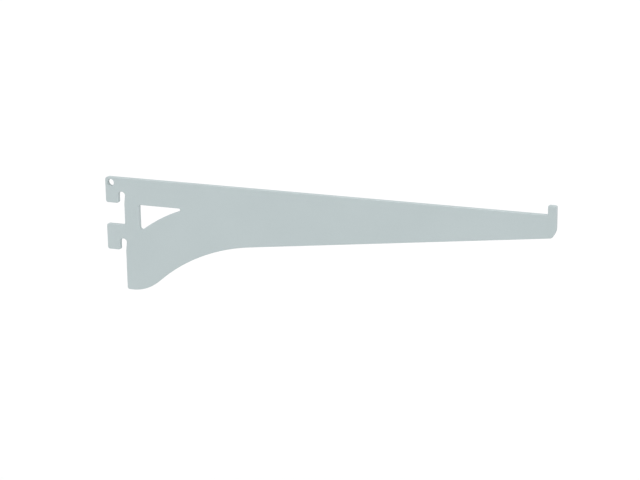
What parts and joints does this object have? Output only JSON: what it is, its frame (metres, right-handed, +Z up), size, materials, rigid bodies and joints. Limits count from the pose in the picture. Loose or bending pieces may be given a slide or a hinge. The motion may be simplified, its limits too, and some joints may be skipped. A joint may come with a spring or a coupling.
{
  "type": "shelf bracket",
  "caption": "Flat tapered steel bracket that carries a shelf on its level top edge: hooks at the wall end drop into a slotted upright, and a small lip at the tip stops the shelf.",
  "frame": {"origin": "where the level shelf edge meets the rear face, in the middle of the sheet's thickness", "axes": "+X out from the wall to the tip, Y across the sheet, +Z up; the shelf edge lies in the plane Z = 0 and the rear face in X = 0, with the hooks behind it"},
  "size_m": [0.3054, 0.003, 0.0822],
  "materials": {
    "coated_steel": "light cool grey coat, semi-matt, with a fine even texture"
  },
  "bodies": {
    "root": {"shelf_bracket": "coated_steel"}
  },
  "joints": []
}
